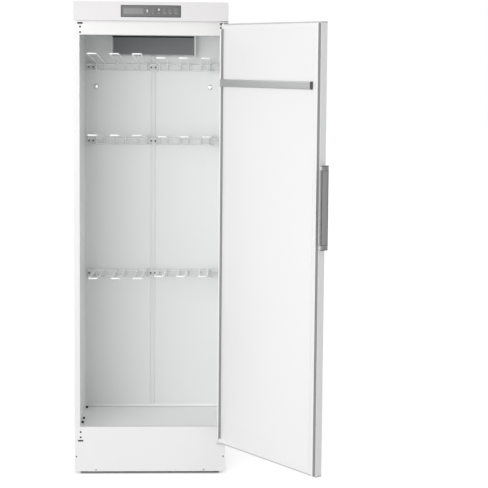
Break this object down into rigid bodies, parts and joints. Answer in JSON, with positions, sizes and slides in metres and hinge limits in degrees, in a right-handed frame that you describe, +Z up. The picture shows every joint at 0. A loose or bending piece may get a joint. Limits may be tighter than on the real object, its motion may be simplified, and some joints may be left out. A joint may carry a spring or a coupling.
{
  "type": "drying cabinet",
  "caption": "Tall free-standing clothes drying cabinet with its door open, hinged wire hanging racks in rows, a warm-air outlet at the back and a control panel in the fascia.",
  "frame": {"origin": "on the floor, under the middle of the cabinet body's width and depth without its fascia and door", "axes": "+Z up, -Y out of the front, +X to the right as seen from the front"},
  "size_m": [0.9413, 1.1072, 1.87],
  "materials": {
    "white_enamel": "gloss",
    "galvanised_sheet": "matte",
    "fascia_moulding": "satin",
    "panel_grey": "satin",
    "display_grey": "gloss",
    "button_grey": "satin",
    "circuit_board": "matte",
    "liner_enamel": "satin",
    "duct_grey": "satin",
    "grille_dark": "matte",
    "motor_grey": "matte",
    "impeller_metal": "satin",
    "heater_steel": "satin",
    "collar_sheet": "satin",
    "black_moulding": "matte",
    "hinge_steel": "satin",
    "plug_white": "satin",
    "screw_steel": "satin",
    "rack_enamel": "gloss",
    "bracket_white": "satin",
    "seal_grey": "matte",
    "bush_plastic": "satin",
    "edge_grey": "satin",
    "rail_silver": "satin",
    "cap_light": "satin",
    "cap_dark": "satin",
    "handle_grey": "satin",
    "foot_plastic": "matte"
  },
  "bodies": {
    "cabinet": {"left_side_panel": "white_enamel", "right_side_panel": "white_enamel", "rear_panel": "galvanised_sheet", "roof_panel": "white_enamel", "base_frame": "galvanised_sheet", "front_header": "white_enamel", "lower_front_panel": "white_enamel", "fascia": "fascia_moulding", "control_panel": "panel_grey", "display_window": "display_grey", "control_board": "circuit_board", "left_liner": "liner_enamel", "right_liner": "liner_enamel", "rear_liner_left": "liner_enamel", "rear_liner_right": "liner_enamel", "rear_seam_strip": "liner_enamel", "ceiling_liner": "liner_enamel", "floor_tray": "liner_enamel", "air_duct": "duct_grey", "fan_grille": "grille_dark", "fan_scroll": "galvanised_sheet", "fan_motor": "motor_grey", "heating_element": "heater_steel", "exhaust_collar": "collar_sheet", "cable_gland": "black_moulding", "hinge_top": "hinge_steel", "hinge_bottom": "hinge_steel", "spare_hinge_plugs": "black_moulding", "wall_plugs": "plug_white", "cabinet_screws": "screw_steel", "rack_brackets": "bracket_white", "door_sensor": "black_moulding", "tray_clips": "black_moulding"},
    "door": {"door_shell": "white_enamel", "door_liner": "liner_enamel", "door_stiffeners": "galvanised_sheet", "door_edge_trim": "edge_grey", "door_seals": "seal_grey", "door_bushes": "bush_plastic", "door_rail": "rail_silver", "rail_end_light": "cap_light", "rail_end_dark": "cap_dark", "handle": "handle_grey", "handle_screws": "screw_steel"},
    "fan_impeller": {"fan_impeller": "impeller_metal"},
    "rack_top_left": {"rack_top_left": "rack_enamel"},
    "rack_top_right": {"rack_top_right": "rack_enamel"},
    "rack_middle_left": {"rack_middle_left": "rack_enamel"},
    "rack_middle_right": {"rack_middle_right": "rack_enamel"},
    "rack_bottom_left": {"rack_bottom_left": "rack_enamel"},
    "rack_bottom_right": {"rack_bottom_right": "rack_enamel"},
    "button_1": {"button_1": "button_grey"},
    "button_2": {"button_2": "button_grey"},
    "button_3": {"button_3": "button_grey"},
    "button_4": {"button_4": "button_grey"},
    "button_5": {"button_5": "button_grey"},
    "foot_front_left": {"foot_front_left": "foot_plastic"},
    "foot_front_right": {"foot_front_right": "foot_plastic"},
    "foot_rear_left": {"foot_rear_left": "foot_plastic"},
    "foot_rear_right": {"foot_rear_right": "foot_plastic"}
  },
  "joints": [
    {"name": "door_swing", "type": "hinge", "parent": "cabinet", "child": "door", "pos_m": [0.2885, -0.307, 0.95], "axis": [0, 0, 1], "range_deg": [-124.75, 5]},
    {"name": "lift_top_left", "type": "hinge", "parent": "cabinet", "child": "rack_top_left", "pos_m": [-0.13, 0.17, 1.617], "axis": [-1, 0, 0], "range_deg": [0, 6]},
    {"name": "lift_top_right", "type": "hinge", "parent": "cabinet", "child": "rack_top_right", "pos_m": [0.13, 0.17, 1.617], "axis": [-1, 0, 0], "range_deg": [0, 6]},
    {"name": "lift_middle_left", "type": "hinge", "parent": "cabinet", "child": "rack_middle_left", "pos_m": [-0.13, 0.17, 1.309], "axis": [-1, 0, 0], "range_deg": [0, 35]},
    {"name": "lift_middle_right", "type": "hinge", "parent": "cabinet", "child": "rack_middle_right", "pos_m": [0.13, 0.17, 1.309], "axis": [-1, 0, 0], "range_deg": [0, 35]},
    {"name": "lift_bottom_left", "type": "hinge", "parent": "cabinet", "child": "rack_bottom_left", "pos_m": [-0.13, 0.17, 0.75], "axis": [-1, 0, 0], "range_deg": [0, 75]},
    {"name": "lift_bottom_right", "type": "hinge", "parent": "cabinet", "child": "rack_bottom_right", "pos_m": [0.13, 0.17, 0.75], "axis": [-1, 0, 0], "range_deg": [0, 75]},
    {"name": "press_button_1", "type": "slide", "parent": "cabinet", "child": "button_1", "axis": [0, 1, 0], "range_m": [0, 0.001], "stiffness_N_per_m": 800, "springref_m": -0.001},
    {"name": "press_button_2", "type": "slide", "parent": "cabinet", "child": "button_2", "axis": [0, 1, 0], "range_m": [0, 0.001], "stiffness_N_per_m": 800, "springref_m": -0.001},
    {"name": "press_button_3", "type": "slide", "parent": "cabinet", "child": "button_3", "axis": [0, 1, 0], "range_m": [0, 0.001], "stiffness_N_per_m": 800, "springref_m": -0.001},
    {"name": "press_button_4", "type": "slide", "parent": "cabinet", "child": "button_4", "axis": [0, 1, 0], "range_m": [0, 0.001], "stiffness_N_per_m": 800, "springref_m": -0.001},
    {"name": "press_button_5", "type": "slide", "parent": "cabinet", "child": "button_5", "axis": [0, 1, 0], "range_m": [0, 0.001], "stiffness_N_per_m": 800, "springref_m": -0.001},
    {"name": "fan_spin", "type": "hinge", "parent": "cabinet", "child": "fan_impeller", "pos_m": [0, 0.052, 1.7844], "axis": [1, 0, 0], "continuous": true},
    {"name": "level_foot_front_left", "type": "slide", "parent": "cabinet", "child": "foot_front_left", "axis": [0, 0, -1], "range_m": [0, 0.02]},
    {"name": "level_foot_front_right", "type": "slide", "parent": "cabinet", "child": "foot_front_right", "axis": [0, 0, -1], "range_m": [0, 0.02]},
    {"name": "level_foot_rear_left", "type": "slide", "parent": "cabinet", "child": "foot_rear_left", "axis": [0, 0, -1], "range_m": [0, 0.02]},
    {"name": "level_foot_rear_right", "type": "slide", "parent": "cabinet", "child": "foot_rear_right", "axis": [0, 0, -1], "range_m": [0, 0.02]}
  ]
}
